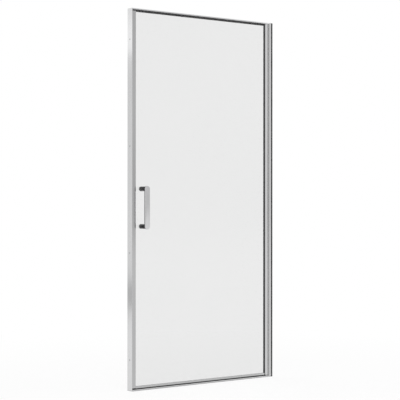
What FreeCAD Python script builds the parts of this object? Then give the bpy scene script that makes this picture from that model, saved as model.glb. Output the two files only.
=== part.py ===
import FreeCAD, Part

import math
import os

# Framed pivot shower door, in millimetres. X runs to the right seen from outside, +Y into the shower, Z up.
# The origin is on the tray, halfway between the walls and halfway through the frame's depth.
# Outside the shower is -Y. The leaf turns about a vertical axis near its right edge.

# Working values: how far a cutting body runs past a face, and the distance at which two points are one
overshoot = 1.0
same_place = 1e-6

# Frame
door_width = 900.0
door_height = 1850.0
frame_depth = 40.0
channel_wall = 1.6
channel_corner = 1.0
strike_channel_return = 22.0
pivot_channel_width = 26.0
pivot_bevel_width = 14.3
pivot_bevel_drop = 4.0
jamb_wall = 1.6
jamb_corner = 1.0
jamb_clearance = 0.2
strike_jamb_width = 22.0
pivot_jamb_width = 15.0
pivot_jamb_recess = 0.4
pivot_jamb_chamfer = 1.0
jamb_hook = 10.0
header_wall = 1.8
header_lip = 6.0
header_stop = 12.0
sill_height = 7.0
sill_wall = 1.6
sill_nose = 2.5
sill_edge = 0.5
sill_hollow_corner = 1.0
sill_upstand = 18.0
sill_back_height = 5.0
upstand_gap = 0.8

# Fixings of the frame
fastener_sides = 10
turned_sides = 20
wall_hole_radius = 2.75
wall_hole_inset = 150.0
wall_hole_count = 4
port_screw_radius = 1.5
port_screw_length = 14.0
port_screw_clearance = 0.05
port_wall = 1.3
screw_head_radius = 2.9
screw_head_height = 1.6
jamb_screw_radius = 1.75
jamb_screw_length = 8.0
jamb_screw_inset = 210.0
jamb_screw_count = 4
jamb_screw_head_radius = 3.4
jamb_screw_head_height = 2.0
screw_cap_radius = 5.4
screw_cap_wall = 1.0
screw_hole_clearance = 0.1
screw_head_clearance = 0.2

# Magnetic closing strips
magnet_width = 8.0
magnet_thickness = 1.8
magnet_gap = 0.6
magnet_inset = 1.2

# Glass and its edges
glass_thickness = 6.0
leaf_side_gap = 1.1
strike_stile_width = 21.3
strike_nose_width = 10.5
stile_wall = 1.5
stile_corner = 1.2
front_gasket = 4.5
back_gasket = 1.0
gasket_base = 1.5
top_cap_height = 7.0
bottom_cap_height = 7.0
cap_spigot_length = 9.0
cap_spigot_clearance = 0.1
top_seal_height = 5.0
top_seal_roof = 1.5
top_seal_side = 2.5
top_seal_fin = 1.5
top_seal_edge = 0.6
top_seal_shoulder = 1.0
fin_edge = 0.4
leaf_top_gap = 0.5
leaf_floor_gap = 0.5
drip_seal_height = 4.8
drip_pad = 2.0
drip_fin = 1.4
drip_bead_width = 2.6
drip_bead_height = 1.4
bottom_rail_height = 9.5
bottom_rail_wall = 2.5
bottom_rail_floor = 2.4
bottom_rail_edge = 0.6
bottom_rail_corner = 1.0
bottom_gasket = 1.0
rail_end_gap = 0.2

# Pivot
pivot_stile_radius = 11.5
pivot_stile_wall = 1.8
pivot_stile_gap = 0.5
pivot_web = 1.4
pivot_seat_gap = 0.8
carrier_cheek = 2.0
carrier_base = 1.5
carrier_overlap = 2.0
carrier_width = 6.0
carrier_edge = 0.6
bush_radius = 5.5
bush_length = 20.0
bush_flange_radius = 8.0
bush_flange = 1.5
pin_radius = 4.0
pin_running_clearance = 0.05
pin_reach = 18.0
pin_tip = 1.0
pin_stud_radius = 3.0
block_margin = 0.3
top_block_height = 3.0
bottom_block_height = 2.0
top_pivot_play = 0.5
thrust_washer_height = 1.2
thrust_washer_radius = 6.2
thrust_gap = 0.3
block_screw_radius = 1.6
block_screw_head_radius = 2.6
block_screw_head_height = 1.3
block_screw_length = 4.6
block_screw_offset = 8.9
jamb_seal_gap = 0.35
jamb_seal_thickness = 2.4
jamb_seal_middle = 55.0
jamb_seal_spread = 9.0

# Handle
handle_to_stile = 37.6
handle_height = 886.0
handle_length = 210.0
handle_width = 29.0
handle_thickness = 6.5
handle_edge = 1.0
handle_standoff = 50.0
post_spacing = 182.0
post_radius = 11.5
washer_thickness = 1.0
glass_hole_radius = 6.0
handle_screw_radius = 3.0
handle_screw_reach = 18.0
handle_head_radius = 5.2
handle_head_height = 3.0
handle_socket_radius = 2.0
handle_socket_depth = 1.8
cover_cap_wall = 1.0

# Places that follow from the sizes above
wall_x = door_width / 2
frame_front = -frame_depth / 2
frame_back = frame_depth / 2
strike_web = -wall_x + channel_wall
pivot_channel_edge = wall_x - pivot_channel_width
pivot_x = pivot_channel_edge - pivot_stile_gap - pivot_stile_radius
pivot_y = frame_front + pivot_stile_radius
glass_front = pivot_y - glass_thickness / 2
glass_back = pivot_y + glass_thickness / 2
stile_left = strike_web + leaf_side_gap
stile_right = stile_left + strike_stile_width
stile_front = glass_front - front_gasket - stile_wall
stile_back = glass_back + back_gasket + stile_wall
mouth_left = stile_left + strike_nose_width
glass_left = mouth_left + gasket_base
glass_right = pivot_x - pivot_stile_radius + carrier_overlap
leaf_magnet_back = stile_back + magnet_thickness
jamb_magnet_front = leaf_magnet_back + magnet_gap
jamb_front = jamb_magnet_front + magnet_thickness
jamb_back = frame_back - channel_wall - jamb_clearance
strike_jamb_left = strike_web + jamb_clearance
strike_jamb_right = strike_jamb_left + strike_jamb_width
pivot_jamb_left = pivot_channel_edge + pivot_jamb_recess
pivot_jamb_right = pivot_jamb_left + pivot_jamb_width
pivot_jamb_front = frame_front + channel_wall + jamb_clearance
header_under = door_height - header_wall
lip_bottom = door_height - header_lip
leaf_top = lip_bottom - leaf_top_gap
seal_roof_top = leaf_top - top_seal_fin
seal_bottom = seal_roof_top - top_seal_height
glass_top = seal_roof_top - top_seal_roof
stile_top = leaf_top - top_cap_height
leaf_bottom = sill_height + leaf_floor_gap
rail_bottom = leaf_bottom + drip_seal_height
rail_top = rail_bottom + bottom_rail_height
glass_bottom = rail_bottom + bottom_rail_floor + bottom_gasket
stile_bottom = leaf_bottom + bottom_cap_height
pivot_bottom = sill_height + bottom_block_height + thrust_washer_height + thrust_gap + bush_flange
pivot_top = header_under - top_block_height - top_pivot_play - bush_flange
carrier_half = glass_thickness / 2 + carrier_cheek
carrier_right = glass_right + carrier_base
handle_x = stile_right + handle_to_stile
handle_back = glass_front - handle_standoff + handle_thickness


def flat_xy(u, v):
    return FreeCAD.Vector(u, v, 0)


def flat_yz(u, v):
    return FreeCAD.Vector(0, u, v)


def flat_xz(u, v):
    return FreeCAD.Vector(u, 0, v)


def rounded_face(corners, place):
    # A closed outline of (u, v, radius) corners. A radius of 0 leaves the corner sharp.
    count = len(corners)
    starts = []
    ends = []
    arcs = []
    for index in range(count):
        u, v, radius = corners[index]
        before = corners[index - 1]
        after = corners[(index + 1) % count]
        corner = place(u, v)
        if radius <= 0:
            starts.append(corner)
            ends.append(corner)
            arcs.append(None)
            continue
        back = (place(before[0], before[1]) - corner).normalize()
        onward = (place(after[0], after[1]) - corner).normalize()
        half_angle = back.getAngle(onward) / 2
        reach = radius / math.tan(half_angle)
        start = corner + back * reach
        end = corner + onward * reach
        middle_line = (back + onward).normalize()
        centre = corner + middle_line * (radius / math.sin(half_angle))
        starts.append(start)
        ends.append(end)
        arcs.append(Part.Arc(start, centre - middle_line * radius, end).toShape())
    edges = []
    for index in range(count):
        if arcs[index]:
            edges.append(arcs[index])
        after = (index + 1) % count
        if ends[index].distanceToPoint(starts[after]) > same_place:
            edges.append(Part.LineSegment(ends[index], starts[after]).toShape())
    return Part.Face(Part.Wire(Part.__sortEdges__(edges)))


def wall_profile(points, wall, radius, place):
    # A strip of even thickness whose outer side follows the points, with the wall to the left of its run.
    normals = []
    for first, second in zip(points, points[1:]):
        run = math.hypot(second[0] - first[0], second[1] - first[1])
        normals.append(((first[1] - second[1]) / run, (second[0] - first[0]) / run))
    inner = []
    for index, point in enumerate(points):
        before = normals[max(index - 1, 0)]
        after = normals[min(index, len(normals) - 1)]
        shared = 1 + before[0] * after[0] + before[1] * after[1]
        u = point[0] + wall * (before[0] + after[0]) / shared
        v = point[1] + wall * (before[1] + after[1]) / shared
        inner.append((u, v))
    last = len(points) - 1
    outer_radius = [0 if index in (0, last) else radius for index in range(last + 1)]
    inner_radius = [max(value - wall, 0) for value in outer_radius]
    corners = [(u, v, r) for (u, v), r in zip(points, outer_radius)]
    corners += [(u, v, r) for (u, v), r in zip(reversed(inner), reversed(inner_radius))]
    return rounded_face(corners, place)


def upright(face, bottom, top):
    # Pulls an XY outline up from one height to another.
    moved = face.translated(FreeCAD.Vector(0, 0, bottom))
    return moved.extrude(FreeCAD.Vector(0, 0, top - bottom))


def lengthwise(face, left, right):
    # Pulls a YZ outline along the door's width.
    moved = face.translated(FreeCAD.Vector(left, 0, 0))
    return moved.extrude(FreeCAD.Vector(right - left, 0, 0))


def block(left, right, front, back, bottom, top):
    corner = FreeCAD.Vector(left, front, bottom)
    return Part.makeBox(right - left, back - front, top - bottom, corner)


def rod_z(x, y, bottom, top, radius):
    return Part.makeCylinder(radius, top - bottom, FreeCAD.Vector(x, y, bottom))


def rod_y(x, z, front, back, radius):
    start = FreeCAD.Vector(x, front, z)
    return Part.makeCylinder(radius, back - front, start, FreeCAD.Vector(0, 1, 0))


def faceted(start, along, first_radius, last_radius, length, sides=fastener_sides):
    # A flat-sided bar or frustum, for small screws and turned parts and the holes that they pass through.
    across = FreeCAD.Vector(1, 0, 0)
    upward = along.cross(across)
    wires = []
    for distance, radius in ((0, first_radius), (length, last_radius)):
        points = []
        for side in range(sides + 1):
            angle = 2 * math.pi * side / sides
            offset = across * (radius * math.cos(angle)) + upward * (radius * math.sin(angle))
            points.append(start + along * distance + offset)
        wires.append(Part.makePolygon(points))
    return Part.makeLoft(wires, True, True)


def screw_z(x, y, bottom, top, radius):
    return faceted(FreeCAD.Vector(x, y, bottom), FreeCAD.Vector(0, 0, 1), radius, radius, top - bottom)


def screw_y(x, z, front, back, radius):
    return faceted(FreeCAD.Vector(x, front, z), FreeCAD.Vector(0, 1, 0), radius, radius, back - front)


def turned_z(x, y, bottom, top, radius):
    start = FreeCAD.Vector(x, y, bottom)
    return faceted(start, FreeCAD.Vector(0, 0, 1), radius, radius, top - bottom, turned_sides)


def turned_y(x, z, front, back, radius):
    start = FreeCAD.Vector(x, front, z)
    return faceted(start, FreeCAD.Vector(0, 1, 0), radius, radius, back - front, turned_sides)


def rod_x(y, z, left, right, radius):
    start = FreeCAD.Vector(left, y, z)
    return Part.makeCylinder(radius, right - left, start, FreeCAD.Vector(1, 0, 0))


def disc(radius):
    circle = Part.Circle(FreeCAD.Vector(pivot_x, pivot_y, 0), FreeCAD.Vector(0, 0, 1), radius)
    return Part.Face(Part.Wire(circle.toShape()))


def spread(low, high, count):
    step = (high - low) / (count - 1)
    return [low + step * index for index in range(count)]


def around_pivot(radius, degrees):
    angle = math.radians(degrees)
    return pivot_x + radius * math.cos(angle), pivot_y + radius * math.sin(angle)


def wall_hole_heights():
    return spread(wall_hole_inset, door_height - wall_hole_inset, wall_hole_count)


def jamb_screw_heights():
    return spread(jamb_screw_inset, door_height - jamb_screw_inset, jamb_screw_count)


def strike_ports():
    # Two screw ports run the length of the strike jamb, one against each side wall.
    middle = (jamb_front + jamb_back) / 2
    inset = jamb_wall + port_radius() + port_wall / 2
    return [(strike_jamb_left + inset, middle), (strike_jamb_right - inset, middle)]


def pivot_ports():
    # Two screw ports run the length of the pivot jamb, beside its wall side.
    inset = jamb_wall + port_radius() + port_wall / 2
    port_x = pivot_jamb_right - inset
    return [(port_x, pivot_jamb_hollow_front() + inset - jamb_wall), (port_x, jamb_back - inset)]


def pivot_jamb_corner():
    # The jamb's front corner on the wall side keeps inside the channel's bevel.
    over = pivot_jamb_right - (wall_x - pivot_bevel_width)
    return pivot_jamb_front + over * pivot_bevel_drop / pivot_bevel_width + pivot_jamb_chamfer


def pivot_jamb_hollow_front():
    return pivot_jamb_corner() + jamb_wall


def port_radius():
    return port_screw_radius + port_screw_clearance


def strike_screw_x():
    return (strike_jamb_left + strike_jamb_right) / 2


def pivot_screw_x():
    return pivot_jamb_left + jamb_wall + jamb_screw_radius


def strike_wall_channel():
    front_edge = (-wall_x, frame_front)
    back_edge = (-wall_x, frame_back)
    flange_end = (-wall_x + strike_channel_return, frame_back)
    points = [flange_end, back_edge, front_edge]
    body = upright(wall_profile(points, channel_wall, channel_corner, flat_xy), 0, door_height)
    for height in wall_hole_heights():
        body = body.cut(rod_x(0, height, -wall_x - overshoot, strike_web + overshoot, wall_hole_radius))
    hole = jamb_screw_radius + screw_hole_clearance
    for height in jamb_screw_heights():
        body = body.cut(screw_y(strike_screw_x(), height, jamb_back, frame_back + overshoot, hole))
    return body


def pivot_wall_channel():
    bevel_start = wall_x - pivot_bevel_width
    bevel_end = frame_front + pivot_bevel_drop
    points = [(pivot_channel_edge, frame_front)]
    points.append((bevel_start, frame_front))
    points.append((wall_x, bevel_end))
    points.append((wall_x, frame_back))
    points.append((pivot_channel_edge, frame_back))
    face = wall_profile(points, channel_wall, channel_corner, flat_xy)
    body = upright(face, 0, door_height)
    inside = wall_x - channel_wall
    for height in wall_hole_heights():
        body = body.cut(rod_x(0, height, inside - overshoot, wall_x + overshoot, wall_hole_radius))
    hole = jamb_screw_radius + screw_hole_clearance
    for height in jamb_screw_heights():
        body = body.cut(screw_y(pivot_screw_x(), height, jamb_back, frame_back + overshoot, hole))
    return body


def ported(body, ports, bottom, top):
    # Adds a round boss at each place along the whole body and opens a screw port in it.
    for x, y in ports:
        body = body.fuse(turned_z(x, y, bottom, top, port_radius() + port_wall))
    for x, y in ports:
        body = body.cut(screw_z(x, y, bottom - overshoot, top + overshoot, port_radius()))
    return body.removeSplitter()


def strike_jamb():
    left = strike_jamb_left
    right = strike_jamb_right
    outer = [(left, jamb_front, 0), (right, jamb_front, jamb_corner)]
    outer += [(right, jamb_back, jamb_corner), (left, jamb_back, 0)]
    hollow_left = left + jamb_wall
    hollow_right = right - jamb_wall
    hollow_front = jamb_front + jamb_wall
    hollow_back = jamb_back - jamb_wall
    hollow = [(hollow_left, hollow_front, 0), (hollow_right, hollow_front, 0)]
    hollow += [(hollow_right, hollow_back, 0), (hollow_left, hollow_back, 0)]
    face = rounded_face(outer, flat_xy).cut(rounded_face(hollow, flat_xy))
    body = upright(face, sill_height, header_under)
    body = ported(body, strike_ports(), sill_height, header_under)
    for height in jamb_screw_heights():
        start = hollow_back - overshoot
        body = body.cut(screw_y(strike_screw_x(), height, start, jamb_back + overshoot, jamb_screw_radius))
    return body


def strike_magnet_strip():
    left = stile_left + magnet_inset
    return block(left, left + magnet_width, jamb_magnet_front, jamb_front, sill_height, header_under)


def pivot_jamb():
    front = pivot_jamb_front
    hook_x = pivot_jamb_left - jamb_hook
    seat = pivot_stile_radius + pivot_seat_gap
    corner_y = pivot_jamb_corner()
    corner_x = pivot_jamb_right - (corner_y - front) * pivot_bevel_width / pivot_bevel_drop
    outer = [(pivot_jamb_left, front, 0), (corner_x, front, 0)]
    outer += [(pivot_jamb_right, corner_y, 0)]
    outer += [(pivot_jamb_right, jamb_back, 0), (hook_x, jamb_back, jamb_corner)]
    outer += [(hook_x, pivot_y, 0), (pivot_jamb_left, pivot_y, 0)]
    face = rounded_face(outer, flat_xy).cut(disc(seat))
    near = pivot_jamb_left + jamb_wall
    far = pivot_jamb_right - jamb_wall
    low = pivot_jamb_hollow_front()
    high = jamb_back - jamb_wall
    hollow = [(near, low, 0), (far, low, 0), (far, high, 0), (near, high, 0)]
    face = face.cut(rounded_face(hollow, flat_xy).cut(disc(seat + jamb_wall)))
    body = upright(face, sill_height, header_under)
    body = ported(body, pivot_ports(), sill_height, header_under)
    groove = upright(jamb_seal_outline(), sill_height, header_under)
    body = body.cut(groove)
    for height in jamb_screw_heights():
        start = high - overshoot
        body = body.cut(screw_y(pivot_screw_x(), height, start, jamb_back + overshoot, jamb_screw_radius))
    return body


def jamb_seal_outline():
    # A strip of a ring about the pivot axis, on the shower side of the pivot stile.
    inner = pivot_stile_radius + jamb_seal_gap
    outer = inner + jamb_seal_thickness
    first = jamb_seal_middle - jamb_seal_spread
    last = jamb_seal_middle + jamb_seal_spread
    corners = [around_pivot(inner, first), around_pivot(outer, first)]
    corners += [around_pivot(outer, last), around_pivot(inner, last)]
    points = [flat_xy(x, y) for x, y in corners]
    outer_middle = flat_xy(*around_pivot(outer, jamb_seal_middle))
    inner_middle = flat_xy(*around_pivot(inner, jamb_seal_middle))
    edges = [Part.LineSegment(points[0], points[1]).toShape()]
    edges.append(Part.Arc(points[1], outer_middle, points[2]).toShape())
    edges.append(Part.LineSegment(points[2], points[3]).toShape())
    edges.append(Part.Arc(points[3], inner_middle, points[0]).toShape())
    return Part.Face(Part.Wire(edges))


def pivot_jamb_seal():
    return upright(jamb_seal_outline(), sill_height, header_under)


def notch_rail_ends(body, bottom, top):
    # Both rails keep only a tongue where they enter the wall channels, over or under the jambs.
    side = jamb_back + jamb_clearance / 2
    strike_edge = -wall_x + strike_channel_return + jamb_clearance
    body = body.cut(block(-wall_x, strike_edge, side, frame_back + overshoot, bottom, top))
    pivot_edge = pivot_channel_edge - jamb_clearance
    body = body.cut(block(pivot_edge, wall_x, frame_front - overshoot, -side, bottom, top))
    bevel_edge = wall_x - pivot_bevel_width - jamb_clearance
    body = body.cut(block(bevel_edge, wall_x, frame_front - overshoot, pivot_jamb_corner(), bottom, top))
    return body.cut(block(pivot_edge, wall_x, side, frame_back + overshoot, bottom, top))


def header_rail():
    points = [(frame_back, door_height - header_stop), (frame_back, door_height)]
    points += [(frame_front, door_height), (frame_front, lip_bottom)]
    face = wall_profile(points, header_wall, channel_corner, flat_yz)
    body = lengthwise(face, strike_jamb_left, pivot_jamb_right)
    body = notch_rail_ends(body, lip_bottom - header_stop, door_height + overshoot)
    for x, y in strike_ports() + pivot_ports():
        body = body.cut(header_screw(x, y))
    low = header_under - overshoot
    high = door_height + overshoot
    body = body.cut(screw_z(pivot_x, pivot_y, low, high, pin_stud_radius))
    for x in block_screw_places():
        body = body.cut(screw_z(x, pivot_y, low, high, block_screw_radius))
    return body


def upstand_front():
    return pivot_y + pivot_stile_radius + upstand_gap


def threshold_rail():
    near = upstand_front()
    far = near + sill_wall
    outer = [(frame_front, 0, 0), (frame_front, sill_height, sill_nose), (near, sill_height, 0)]
    outer += [(near, sill_upstand, sill_edge), (far, sill_upstand, sill_edge), (far, sill_height, 0)]
    outer += [(frame_back, sill_back_height, sill_edge), (frame_back, 0, 0)]
    low = sill_wall
    high = sill_height - sill_wall
    rib = sill_wall / 2
    front_hollow = [(frame_front + sill_wall, low, 0), (-rib, low, 0), (-rib, high, 0)]
    front_hollow += [(frame_front + sill_wall, high, sill_hollow_corner)]
    back_high = sill_back_height - sill_wall
    back_hollow = [(rib, low, 0), (frame_back - sill_wall, low, 0), (frame_back - sill_wall, back_high, 0)]
    back_hollow += [(near, high, 0), (rib, high, 0)]
    face = rounded_face(outer, flat_yz).cut(rounded_face(front_hollow, flat_yz))
    face = face.cut(rounded_face(back_hollow, flat_yz))
    body = lengthwise(face, strike_jamb_left, pivot_jamb_right)
    body = notch_rail_ends(body, -overshoot, sill_upstand + overshoot)
    strike_clear = strike_jamb_right + jamb_clearance
    pivot_clear = pivot_jamb_left - jamb_hook - jamb_clearance
    past_upstand = sill_upstand + overshoot
    body = body.cut(block(-wall_x, strike_clear, near - overshoot, frame_back, sill_height, past_upstand))
    body = body.cut(block(pivot_clear, wall_x, near - overshoot, frame_back, sill_height, past_upstand))
    start = high - overshoot
    end = sill_height + overshoot
    hole = port_screw_radius + screw_hole_clearance
    for x, y in strike_ports() + pivot_ports():
        body = body.cut(screw_z(x, y, start, end, hole))
        body = body.cut(screw_z(x, y, -overshoot, high, screw_head_radius + screw_head_clearance))
    body = body.cut(screw_z(pivot_x, pivot_y, start, end, pin_stud_radius))
    for x in block_screw_places():
        body = body.cut(screw_z(x, pivot_y, start, end, block_screw_radius))
    return body


def header_screw(x, y):
    # A countersunk screw flush with the header's top.
    start = FreeCAD.Vector(x, y, door_height)
    return countersunk(start, -1, port_screw_radius, screw_head_radius, screw_head_height, port_screw_length)


def header_screws():
    return Part.makeCompound([header_screw(x, y) for x, y in strike_ports() + pivot_ports()])


def threshold_screws():
    screws = []
    seat = sill_height - sill_wall
    for x, y in strike_ports() + pivot_ports():
        shank = screw_z(x, y, seat, sill_height + port_screw_length, port_screw_radius)
        head = screw_z(x, y, seat - screw_head_height, seat, screw_head_radius)
        screws.append(shank.fuse(head).removeSplitter())
    return Part.makeCompound(screws)


def jamb_screw_places():
    places = []
    for x in (strike_screw_x(), pivot_screw_x()):
        for height in jamb_screw_heights():
            places.append((x, height))
    return places


def jamb_fixing_screws():
    screws = []
    for x, height in jamb_screw_places():
        shank = screw_y(x, height, frame_back - jamb_screw_length, frame_back, jamb_screw_radius)
        head = screw_y(x, height, frame_back, frame_back + jamb_screw_head_height, jamb_screw_head_radius)
        screws.append(shank.fuse(head).removeSplitter())
    return Part.makeCompound(screws)


def jamb_screw_caps():
    caps = []
    outward = FreeCAD.Vector(0, 1, 0)
    top_radius = screw_cap_radius - screw_cap_wall
    for x, height in jamb_screw_places():
        shoulder = frame_back + jamb_screw_head_height
        side = screw_y(x, height, frame_back, shoulder, screw_cap_radius)
        crown_start = FreeCAD.Vector(x, shoulder, height)
        crown = faceted(crown_start, outward, screw_cap_radius, top_radius, screw_cap_wall)
        pocket = screw_y(x, height, frame_back - overshoot, shoulder, top_radius)
        caps.append(side.cut(pocket).fuse(crown).removeSplitter())
    return Part.makeCompound(caps)


def block_screw_places():
    return [pivot_x - block_screw_offset, pivot_x + block_screw_offset]


def pivot_block(bottom, top):
    # A round block with a flat behind the frame's front lip.
    reach = pivot_stile_radius + block_margin
    body = turned_z(pivot_x, pivot_y, bottom, top, reach)
    flat = frame_front + header_wall + block_margin
    body = body.cut(block(pivot_x - reach, pivot_x + reach, frame_front - overshoot, flat, bottom, top))
    return body.cut(screw_z(pivot_x, pivot_y, bottom - overshoot, top + overshoot, pin_stud_radius))


def countersunk(start, direction, radius, head_radius, head_height, length):
    # A screw whose flat head starts at a face and whose shank runs up (1) or down (-1) from there.
    along = FreeCAD.Vector(0, 0, direction)
    head = faceted(start, along, head_radius, radius, head_height)
    shank = faceted(start, along, radius, radius, length)
    return head.fuse(shank).removeSplitter()


def block_screw(x, face, direction):
    start = FreeCAD.Vector(x, pivot_y, face)
    head_height = block_screw_head_height
    return countersunk(
        start, direction, block_screw_radius, block_screw_head_radius, head_height, block_screw_length)


def top_pivot_block():
    bottom = header_under - top_block_height
    body = pivot_block(bottom, header_under)
    for x in block_screw_places():
        body = body.cut(block_screw(x, bottom, 1))
    return body


def bottom_pivot_block():
    top = sill_height + bottom_block_height
    body = pivot_block(sill_height, top)
    for x in block_screw_places():
        body = body.cut(block_screw(x, top, -1))
    return body


def pivot_block_screws():
    screws = []
    for x in block_screw_places():
        screws.append(block_screw(x, header_under - top_block_height, 1))
        screws.append(block_screw(x, sill_height + bottom_block_height, -1))
    return Part.makeCompound(screws)


def pivot_pin(shoulder, direction, seat_length):
    # The running part goes into the leaf, and a thinner stud goes through the block and the rail.
    start = FreeCAD.Vector(pivot_x, pivot_y, shoulder)
    along = FreeCAD.Vector(0, 0, direction)
    straight = pin_reach - pin_tip
    running = Part.makeCylinder(pin_radius, straight, start, along)
    tip = Part.makeCone(pin_radius, pin_radius - pin_tip, pin_tip, start + along * straight, along)
    stud = faceted(start, along * -1, pin_stud_radius, pin_stud_radius, seat_length)
    return running.fuse(tip).fuse(stud).removeSplitter()


def top_pivot_pin():
    return pivot_pin(header_under - top_block_height, -1, top_block_height + header_wall)


def bottom_pivot_pin():
    return pivot_pin(sill_height + bottom_block_height, 1, bottom_block_height + sill_wall)


def thrust_washer():
    bottom = sill_height + bottom_block_height
    top = bottom + thrust_washer_height
    body = turned_z(pivot_x, pivot_y, bottom, top, thrust_washer_radius)
    return body.cut(rod_z(pivot_x, pivot_y, bottom - overshoot, top + overshoot, pin_radius))


def pivot_bush(end, direction):
    start = FreeCAD.Vector(pivot_x, pivot_y, end)
    inward = FreeCAD.Vector(0, 0, direction)
    sleeve = Part.makeCylinder(bush_radius, bush_length, start, inward)
    flange = faceted(
        start, inward * -1, bush_flange_radius, bush_flange_radius, bush_flange, turned_sides)
    bore_start = start - inward * (bush_flange + overshoot)
    bore_length = bush_length + bush_flange + 2 * overshoot
    bore = Part.makeCylinder(pin_radius + pin_running_clearance, bore_length, bore_start, inward)
    return sleeve.fuse(flange).cut(bore).removeSplitter()


def top_pivot_bush():
    return pivot_bush(pivot_top, -1)


def bottom_pivot_bush():
    return pivot_bush(pivot_bottom, 1)


def pivot_stile():
    core = disc(bush_radius + pivot_web)
    chamber = disc(pivot_stile_radius - pivot_stile_wall).cut(core)
    left_end = pivot_x - pivot_stile_radius
    slot_wall = carrier_half + pivot_web
    keep = [(left_end, pivot_y - slot_wall, 0), (pivot_x, pivot_y - slot_wall, 0)]
    keep += [(pivot_x, pivot_y + slot_wall, 0), (left_end, pivot_y + slot_wall, 0)]
    chamber = chamber.cut(rounded_face(keep, flat_xy))
    half_web = pivot_web / 2
    web = [(pivot_x, pivot_y - half_web, 0), (pivot_x + pivot_stile_radius, pivot_y - half_web, 0)]
    web += [(pivot_x + pivot_stile_radius, pivot_y + half_web, 0), (pivot_x, pivot_y + half_web, 0)]
    chamber = chamber.cut(rounded_face(web, flat_xy))
    slot = [(left_end - overshoot, pivot_y - carrier_half, 0), (carrier_right, pivot_y - carrier_half, 0)]
    slot += [(carrier_right, pivot_y + carrier_half, 0), (left_end - overshoot, pivot_y + carrier_half, 0)]
    face = disc(pivot_stile_radius).cut(chamber).cut(disc(bush_radius)).cut(rounded_face(slot, flat_xy))
    return upright(face, pivot_bottom, pivot_top)


def glazing_carrier():
    left = carrier_left()
    front = pivot_y - carrier_half
    back = pivot_y + carrier_half
    corners = [(left, front, carrier_edge), (carrier_right, front, 0), (carrier_right, back, 0)]
    corners += [(left, back, carrier_edge), (left, glass_back, 0), (glass_right, glass_back, 0)]
    corners += [(glass_right, glass_front, 0), (left, glass_front, 0)]
    return upright(rounded_face(corners, flat_xy), rail_bottom, pivot_top)


def carrier_lip():
    # How far the round stile's skin lies behind its leftmost point at the slot's edge.
    return pivot_stile_radius - math.sqrt(pivot_stile_radius ** 2 - carrier_half ** 2)


def carrier_left():
    return pivot_x - pivot_stile_radius - carrier_width + carrier_lip()


def handle_posts_z():
    return [handle_height - post_spacing / 2, handle_height + post_spacing / 2]


def glass_pane():
    pane = block(glass_left, glass_right, glass_front, glass_back, glass_bottom, glass_top)
    for height in handle_posts_z():
        hole = rod_y(handle_x, height, glass_front - overshoot, glass_back + overshoot, glass_hole_radius)
        pane = pane.cut(hole)
    return pane


def stile_outline(inset):
    left = stile_left + inset
    right = stile_right - inset
    front = stile_front + inset
    back = stile_back - inset
    radius = stile_corner
    return [(left, front, radius), (right, front, radius), (right, back, radius), (left, back, radius)]


def nose_hollow(inset):
    left = stile_left + stile_wall + inset
    right = mouth_left - stile_wall - inset
    front = stile_front + stile_wall + inset
    back = stile_back - stile_wall - inset
    return [(left, front, 0), (right, front, 0), (right, back, 0), (left, back, 0)]


def mouth_outline():
    front = stile_front + stile_wall
    back = stile_back - stile_wall
    past = stile_right + overshoot
    return [(mouth_left, front, 0), (past, front, 0), (past, back, 0), (mouth_left, back, 0)]


def strike_stile():
    face = rounded_face(stile_outline(0), flat_xy)
    face = face.cut(rounded_face(nose_hollow(0), flat_xy))
    face = face.cut(rounded_face(mouth_outline(), flat_xy))
    return upright(face, stile_bottom, stile_top)


def strike_glazing_gasket():
    front = stile_front + stile_wall
    back = stile_back - stile_wall
    corners = [(mouth_left, front, 0), (stile_right, front, 0), (stile_right, glass_front, 0)]
    corners += [(glass_left, glass_front, 0), (glass_left, glass_back, 0)]
    corners += [(stile_right, glass_back, 0), (stile_right, back, 0), (mouth_left, back, 0)]
    return upright(rounded_face(corners, flat_xy), stile_bottom, stile_top)


def strike_stile_top_cap():
    cap = upright(rounded_face(stile_outline(0), flat_xy), stile_top, leaf_top)
    spigot_face = rounded_face(nose_hollow(cap_spigot_clearance), flat_xy)
    cap = cap.fuse(upright(spigot_face, stile_top - cap_spigot_length, stile_top))
    right = stile_right + overshoot
    slot = block(glass_left, right, glass_front, glass_back, stile_top - overshoot, glass_top)
    return cap.cut(slot).removeSplitter()


def strike_stile_bottom_cap():
    cap = upright(rounded_face(stile_outline(0), flat_xy), leaf_bottom, stile_bottom)
    spigot_face = rounded_face(nose_hollow(cap_spigot_clearance), flat_xy)
    return cap.fuse(upright(spigot_face, stile_bottom, stile_bottom + cap_spigot_length)).removeSplitter()


def leaf_magnet_strip():
    left = stile_left + magnet_inset
    return block(left, left + magnet_width, stile_back, leaf_magnet_back, stile_bottom, stile_top)


def top_edge_seal():
    front = glass_front - top_seal_side
    back = glass_back + top_seal_side
    fin_front = back - top_seal_roof
    corners = [(front, seal_bottom, top_seal_edge), (glass_front, seal_bottom, 0)]
    corners += [(glass_front, glass_top, 0), (glass_back, glass_top, 0), (glass_back, seal_bottom, 0)]
    corners += [(back, seal_bottom, top_seal_edge), (back, leaf_top, fin_edge)]
    corners += [(fin_front, leaf_top, fin_edge), (fin_front, seal_roof_top, 0)]
    corners += [(front, seal_roof_top, top_seal_shoulder)]
    face = rounded_face(corners, flat_yz)
    return lengthwise(face, stile_right + rail_end_gap, carrier_left() - rail_end_gap)


def rail_sides():
    side = glass_thickness / 2 + bottom_gasket + bottom_rail_wall
    return pivot_y - side, pivot_y + side


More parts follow.
